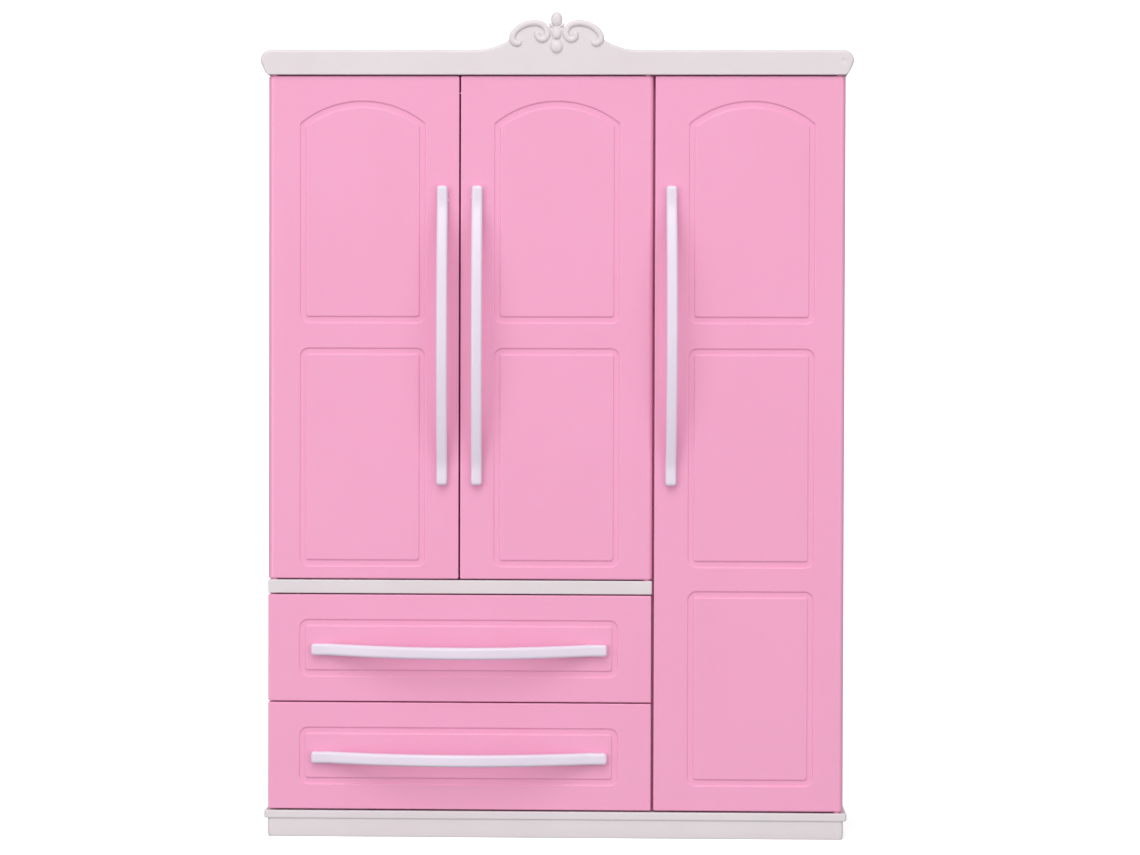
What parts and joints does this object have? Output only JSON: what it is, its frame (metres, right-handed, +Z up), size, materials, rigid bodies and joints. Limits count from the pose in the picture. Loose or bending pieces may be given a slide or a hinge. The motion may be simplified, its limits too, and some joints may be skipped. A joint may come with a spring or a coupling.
{
  "type": "miniature wardrobe",
  "caption": "Pink and ivory doll's wardrobe with hinged doors, sliding drawers, bowed handles, a clothes rail, a shelved bay and a scroll-topped cornice.",
  "frame": {"origin": "on the floor under the middle of the bounding box", "axes": "+Z up, the doors and drawers face -Y, the left door is at -X"},
  "size_m": [0.2222, 0.087, 0.31],
  "materials": {
    "pink_plastic": "moulded pastel pink, satin gloss",
    "ivory_plastic": "moulded warm white, satin gloss",
    "white_plastic": "moulded cool white, satin gloss"
  },
  "bodies": {
    "carcass": {"plinth": "ivory_plastic", "cornice": "ivory_plastic", "middle_deck": "ivory_plastic", "side_panel_left": "pink_plastic", "side_panel_right": "pink_plastic", "divider": "pink_plastic", "back_panel": "pink_plastic", "drawer_shelf": "pink_plastic", "shelf_lower": "ivory_plastic", "shelf_middle": "ivory_plastic", "shelf_upper": "ivory_plastic", "rail_socket_left": "white_plastic", "rail_socket_right": "white_plastic", "clothes_rail": "white_plastic"},
    "left_door": {"door_left": "pink_plastic", "handle_left": "white_plastic"},
    "middle_door": {"door_middle": "pink_plastic", "handle_middle": "white_plastic"},
    "right_door": {"door_right": "pink_plastic", "handle_right": "white_plastic"},
    "upper_drawer": {"drawer_front_upper": "pink_plastic", "drawer_tray_upper": "pink_plastic", "drawer_handle_upper": "white_plastic"},
    "lower_drawer": {"drawer_front_lower": "pink_plastic", "drawer_tray_lower": "pink_plastic", "drawer_handle_lower": "white_plastic"}
  },
  "joints": [
    {"name": "left_door_hinge", "type": "hinge", "parent": "carcass", "child": "left_door", "pos_m": [-0.1059, -0.03075, 0], "axis": [0, 0, -1], "range_deg": [0, 120]},
    {"name": "middle_door_hinge", "type": "hinge", "parent": "carcass", "child": "middle_door", "pos_m": [0.0341, -0.03075, 0], "axis": [0, 0, 1], "range_deg": [0, 90]},
    {"name": "right_door_hinge", "type": "hinge", "parent": "carcass", "child": "right_door", "pos_m": [0.1059, -0.03075, 0], "axis": [0, 0, 1], "range_deg": [0, 120]},
    {"name": "upper_drawer_slide", "type": "slide", "parent": "carcass", "child": "upper_drawer", "axis": [0, -1, 0], "range_m": [0, 0.045]},
    {"name": "lower_drawer_slide", "type": "slide", "parent": "carcass", "child": "lower_drawer", "axis": [0, -1, 0], "range_m": [0, 0.045]}
  ]
}
